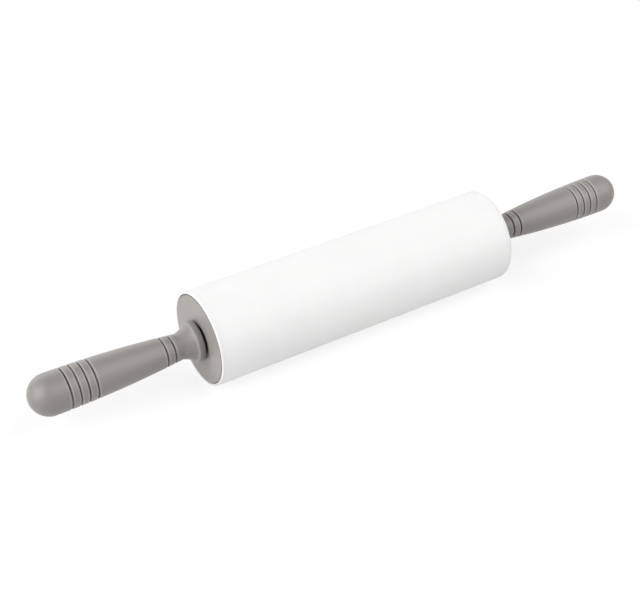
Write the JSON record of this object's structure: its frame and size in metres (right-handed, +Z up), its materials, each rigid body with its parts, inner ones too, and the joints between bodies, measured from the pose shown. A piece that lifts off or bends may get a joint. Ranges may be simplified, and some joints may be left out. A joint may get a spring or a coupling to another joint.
{
  "type": "silicone rolling pin",
  "caption": "Rolling pin with a silicone-covered barrel that spins freely on a steel rod between two fixed grey handles.",
  "frame": {"origin": "On the surface that the pin lies on, under the middle of the barrel.", "axes": "+X along the pin towards its right handle, +Z up, +Y towards the back. The barrel's turning axis is parallel to X."},
  "size_m": [0.431, 0.0598, 0.0599],
  "materials": {
    "silicone": "smooth matte white silicone",
    "grey_plastic": "satin moulded warm grey polypropylene",
    "core_plastic": "natural moulded polypropylene",
    "acetal": "smooth black acetal",
    "nylon": "black nylon",
    "rod_steel": "ground stainless steel",
    "spring_steel": "dark phosphated spring steel",
    "zinc_steel": "bright zinc-plated steel"
  },
  "bodies": {
    "handles": {"axle_rod": "rod_steel", "thrust_washer_left": "nylon", "thrust_washer_right": "nylon", "retaining_ring_left": "spring_steel", "retaining_ring_right": "spring_steel", "grip_left": "grey_plastic", "grip_right": "grey_plastic", "clamp_washer_left": "zinc_steel", "clamp_washer_right": "zinc_steel", "lock_nut_left": "zinc_steel", "lock_nut_right": "zinc_steel", "handle_cap_left": "grey_plastic", "handle_cap_right": "grey_plastic"},
    "barrel": {"silicone_sleeve": "silicone", "core_tube": "core_plastic", "hub_plug_left": "core_plastic", "hub_plug_right": "core_plastic", "end_disc_left": "grey_plastic", "end_disc_right": "grey_plastic", "bush_left": "acetal", "bush_right": "acetal"}
  },
  "joints": [
    {"name": "barrel_spin", "type": "hinge", "parent": "handles", "child": "barrel", "pos_m": [0, 0, 0.02994], "axis": [1, 0, 0], "continuous": true}
  ]
}
